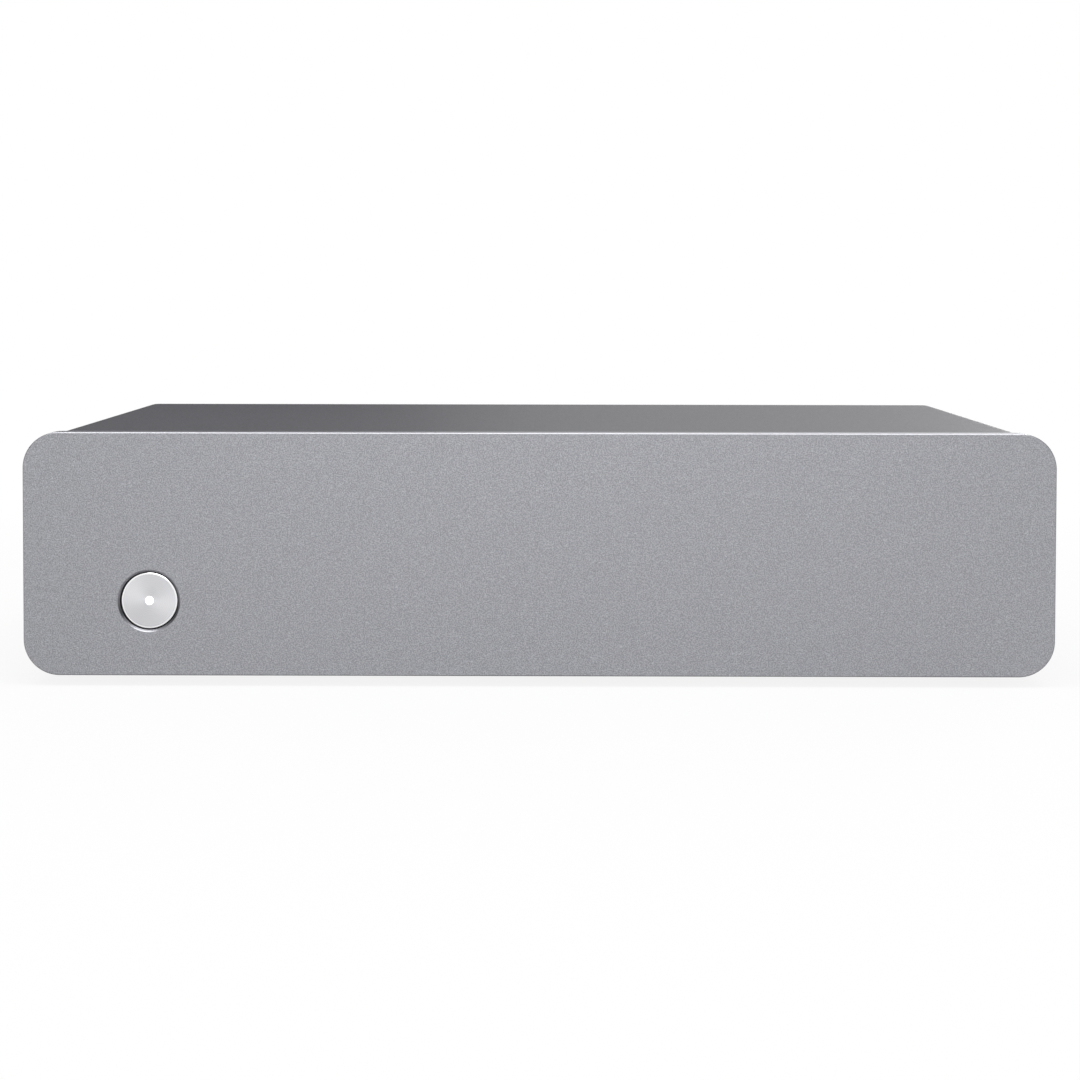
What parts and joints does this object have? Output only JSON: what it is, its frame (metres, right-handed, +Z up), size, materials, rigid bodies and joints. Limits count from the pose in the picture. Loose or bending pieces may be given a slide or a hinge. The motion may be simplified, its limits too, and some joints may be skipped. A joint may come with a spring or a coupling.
{
  "type": "preamplifier",
  "caption": "Slim half-width phono preamplifier: thick rounded silver front panel with a lit push button, grey steel cover, and rear phono sockets, ground post, balance knob and mains inlet.",
  "frame": {"origin": "on the floor plane at the soles of the feet, under the middle of the overall width and depth", "axes": "+X to the right seen from the front, +Y from the front panel to the rear sockets, +Z up"},
  "size_m": [0.215, 0.158, 0.053],
  "materials": {
    "panel_aluminium": "bead-blasted and anodised, satin",
    "cover_paint": "fine matt powder coat",
    "chassis_steel": "fine matt powder coat",
    "zinc_screws": "zinc plated",
    "black_screws": "blackened steel",
    "black_rubber": "matt",
    "button_aluminium": "turned face, bright chamfer",
    "black_plastic": "fine texture",
    "white_plastic": "moulded",
    "red_plastic": "moulded",
    "grey_plastic": "moulded",
    "green_plastic": "insulated lead, green with a yellow stripe",
    "clear_plastic": "clear, lit white from behind",
    "lamp_plastic": "water clear",
    "spring_steel": "plain wire",
    "board_laminate": "green solder mask",
    "brass_fittings": "turned",
    "nickel_contacts": "nickel plated",
    "pot_metal": "plain",
    "fuse_glass": "clear tube",
    "ferrite": "sintered core with a taped winding",
    "capacitor_sleeve": "shrunk sleeve",
    "black_aluminium": "black anodised",
    "tinned_steel": "tin plated"
  },
  "bodies": {
    "case": {"front_panel": "panel_aluminium", "front_panel_screws": "zinc_screws", "cover": "cover_paint", "cover_screws": "black_screws", "chassis": "chassis_steel", "rubber_feet": "black_rubber", "button_guide": "black_plastic", "button_guide_screws": "zinc_screws", "button_return_spring": "spring_steel", "switch_board": "board_laminate", "switch_board_screws": "zinc_screws", "switch_housing": "black_plastic", "indicator_lamp": "lamp_plastic", "ribbon_plugs": "white_plastic", "ribbon_lead": "grey_plastic", "main_board": "board_laminate", "board_pillars": "brass_fittings", "board_screws": "zinc_screws", "mains_inlet": "black_plastic", "mains_inlet_blades": "nickel_contacts", "mains_inlet_screws": "black_screws", "mains_inlet_nuts": "zinc_screws", "earth_lead": "green_plastic", "earth_stud": "zinc_screws", "earth_nut": "zinc_screws", "jack_blocks": "black_plastic", "jack_shells": "nickel_contacts", "left_jack_inserts": "white_plastic", "right_jack_inserts": "red_plastic", "jack_contacts": "nickel_contacts", "jack_block_screws": "black_screws", "balance_control": "pot_metal", "balance_nut": "zinc_screws", "ground_terminal": "nickel_contacts", "ground_inner_nut": "zinc_screws", "mains_fuse": "fuse_glass", "fuse_clips": "nickel_contacts", "filter_choke": "ferrite", "power_transformer": "ferrite", "reservoir_capacitor": "capacitor_sleeve", "supply_capacitors": "capacitor_sleeve", "coupling_capacitors": "capacitor_sleeve", "film_capacitors": "red_plastic", "output_relays": "grey_plastic", "heat_sink": "black_aluminium", "voltage_regulators": "black_plastic", "amplifier_chips": "black_plastic", "screening_can": "tinned_steel"},
    "button": {"power_button": "button_aluminium", "button_plunger": "black_plastic", "button_light_rod": "clear_plastic"},
    "switch_plunger": {"switch_stem": "white_plastic"},
    "balance": {"balance_knob": "black_plastic", "balance_shaft": "pot_metal"},
    "ground_washer": {"ground_washer": "nickel_contacts"},
    "ground_nut": {"ground_thumb_nut": "nickel_contacts"}
  },
  "joints": [
    {"name": "power_button_press", "type": "slide", "parent": "case", "child": "button", "axis": [0, 1, 0], "range_m": [0, 0.0006], "stiffness_N_per_m": 1500, "springref_m": -0.0005, "deforming": ["button_return_spring"]},
    {"name": "switch_stem_press", "type": "slide", "parent": "case", "child": "switch_plunger", "axis": [0, 1, 0], "range_m": [0, 0.0006]},
    {"name": "balance_turn", "type": "hinge", "parent": "case", "child": "balance", "pos_m": [0.008, 0.072, 0.0276], "axis": [0, 1, 0], "range_deg": [-140, 140]},
    {"name": "ground_washer_slide", "type": "slide", "parent": "case", "child": "ground_washer", "axis": [0, 1, 0], "range_m": [0, 0.0028]},
    {"name": "ground_nut_turn", "type": "hinge", "parent": "ground_washer", "child": "ground_nut", "pos_m": [0.09, 0.073, 0.0276], "axis": [0, 1, 0], "range_deg": [0, 1440]}
  ],
  "couplings": [
    {"joint": "switch_stem_press", "follows": "power_button_press", "ratio": 1},
    {"joint": "ground_nut_turn", "follows": "ground_washer_slide", "rad_per_m": 8976}
  ]
}
